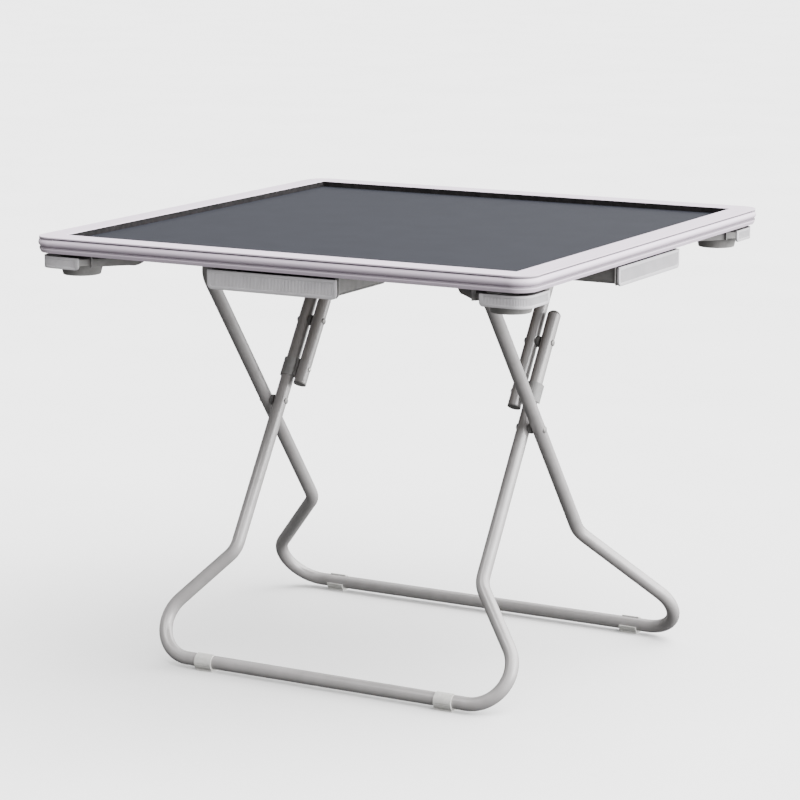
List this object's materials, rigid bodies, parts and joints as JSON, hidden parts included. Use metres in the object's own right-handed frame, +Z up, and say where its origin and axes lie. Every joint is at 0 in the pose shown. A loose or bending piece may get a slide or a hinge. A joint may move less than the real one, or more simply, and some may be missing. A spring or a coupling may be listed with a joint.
{
  "type": "folding mahjong table",
  "caption": "Square folding game table with a recessed playing surface, slide-out drawers and corner cup trays, on crossed tube legs that fold flat beneath the top.",
  "frame": {"origin": "on the floor under the middle of the table top, with the table open", "axes": "+Z up, +X to the right along the front edge, +Y from the front edge to the rear edge"},
  "size_m": [0.88, 0.88, 0.72],
  "materials": {
    "rim": "pearl silver-grey plastic",
    "surface": "slate grey laminated sheet, satin",
    "board": "fibreboard",
    "lining": "near-black plastic strip",
    "drawer": "silver-grey moulded plastic",
    "front": "silver-grey moulded plastic, satin",
    "housing": "grey moulded plastic",
    "tube": "silver-grey powder coat on steel tube",
    "strap": "grey coated steel",
    "rivet": "zinc-plated steel",
    "screw": "zinc-plated steel",
    "spacer": "black nylon",
    "clip": "grey rubber",
    "plug": "dark grey plastic",
    "snap": "grey plastic"
  },
  "bodies": {
    "table_top": {"table_board": "board", "playing_surface": "surface", "lining_strips": "lining", "rail_front": "rim", "rail_right": "rim", "rail_rear": "rim", "rail_left": "rim", "corner_rear_right": "rim", "corner_rear_left": "rim", "corner_front_left": "rim", "corner_front_right": "rim", "corner_screws": "screw", "drawer_housing_front": "housing", "drawer_housing_right": "housing", "drawer_housing_rear": "housing", "drawer_housing_left": "housing", "drawer_housing_screws": "screw", "cup_housing_rear_right": "housing", "cup_housing_rear_left": "housing", "cup_housing_front_left": "housing", "cup_housing_front_right": "housing", "cup_housing_screws": "screw", "rear_hinge_straps": "strap", "link_hinge_straps": "strap", "hinge_strap_screws": "screw"},
    "rear_leg": {"rear_leg_frame": "tube", "rear_pivot_rivets": "rivet", "rear_pivot_spacers": "spacer", "rear_foot_clip_right": "clip", "rear_foot_clip_left": "clip"},
    "link": {"link_frame": "tube", "link_pivot_rivets": "rivet", "link_spacers": "spacer", "link_plugs": "plug", "snap_clip_right": "snap", "snap_clip_left": "snap", "snap_clip_screws": "screw"},
    "front_leg": {"front_leg_frame": "tube", "front_pivot_rivets": "rivet", "front_leg_plugs": "plug", "front_foot_clip_right": "clip", "front_foot_clip_left": "clip"},
    "drawer_front": {"drawer_tray_front": "drawer", "drawer_front_front": "front"},
    "drawer_right": {"drawer_tray_right": "drawer", "drawer_front_right": "front"},
    "drawer_rear": {"drawer_tray_rear": "drawer", "drawer_front_rear": "front"},
    "drawer_left": {"drawer_tray_left": "drawer", "drawer_front_left": "front"},
    "cup_rear_right": {"cup_tray_rear_right": "drawer", "cup_front_rear_right": "front"},
    "cup_rear_left": {"cup_tray_rear_left": "drawer", "cup_front_rear_left": "front"},
    "cup_front_left": {"cup_tray_front_left": "drawer", "cup_front_front_left": "front"},
    "cup_front_right": {"cup_tray_front_right": "drawer", "cup_front_front_right": "front"}
  },
  "joints": [
    {"name": "rear_leg_fold", "type": "hinge", "parent": "table_top", "child": "rear_leg", "pos_m": [0, -0.246, 0.6904], "axis": [1, 0, 0], "range_deg": [0, 51.1]},
    {"name": "link_fold", "type": "hinge", "parent": "table_top", "child": "link", "pos_m": [0, 0.15, 0.6904], "axis": [1, 0, 0], "range_deg": [-56.23, 0]},
    {"name": "front_leg_fold", "type": "hinge", "parent": "link", "child": "front_leg", "pos_m": [0, 0.04759, 0.53088], "axis": [1, 0, 0], "range_deg": [0, 175.06]},
    {"name": "drawer_front_slide", "type": "slide", "parent": "table_top", "child": "drawer_front", "axis": [0, -1, 0], "range_m": [0, 0.12]},
    {"name": "drawer_right_slide", "type": "slide", "parent": "table_top", "child": "drawer_right", "axis": [1, 0, 0], "range_m": [0, 0.12]},
    {"name": "drawer_rear_slide", "type": "slide", "parent": "table_top", "child": "drawer_rear", "axis": [0, 1, 0], "range_m": [0, 0.12]},
    {"name": "drawer_left_slide", "type": "slide", "parent": "table_top", "child": "drawer_left", "axis": [-1, 0, 0], "range_m": [0, 0.12]},
    {"name": "cup_rear_right_slide", "type": "slide", "parent": "table_top", "child": "cup_rear_right", "axis": [0.7071, 0.7071, 0], "range_m": [0, 0.1]},
    {"name": "cup_rear_left_slide", "type": "slide", "parent": "table_top", "child": "cup_rear_left", "axis": [-0.7071, 0.7071, 0], "range_m": [0, 0.1]},
    {"name": "cup_front_left_slide", "type": "slide", "parent": "table_top", "child": "cup_front_left", "axis": [-0.7071, -0.7071, 0], "range_m": [0, 0.1]},
    {"name": "cup_front_right_slide", "type": "slide", "parent": "table_top", "child": "cup_front_right", "axis": [0.7071, -0.7071, 0], "range_m": [0, 0.1]}
  ],
  "couplings": [
    {"joint": "link_fold", "follows": "rear_leg_fold", "ratio": -1.1002},
    {"joint": "front_leg_fold", "follows": "rear_leg_fold", "ratio": 3.426}
  ]
}
